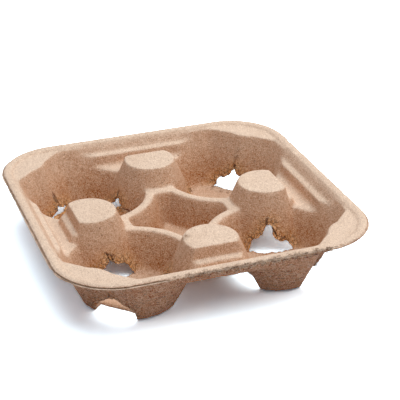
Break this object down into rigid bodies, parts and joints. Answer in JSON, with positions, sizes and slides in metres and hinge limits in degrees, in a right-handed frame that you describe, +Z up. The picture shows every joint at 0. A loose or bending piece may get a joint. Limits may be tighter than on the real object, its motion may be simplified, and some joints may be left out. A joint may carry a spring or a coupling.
{
  "type": "moulded pulp cup carrier",
  "caption": "Square take-away cup carrier moulded from brown paper pulp, with deep three-lobed cup wells, flat-topped posts between them, torn vents and a star-shaped middle pocket.",
  "frame": {"origin": "on the table, under the middle of the tray", "axes": "+Z up; X and Y along the tray's sides, with -Y towards the front of the picture"},
  "size_m": [0.215, 0.215, 0.044],
  "materials": {
    "pulp": "matte fibrous pulp"
  },
  "bodies": {
    "root": {"carrier": "pulp"}
  },
  "joints": []
}
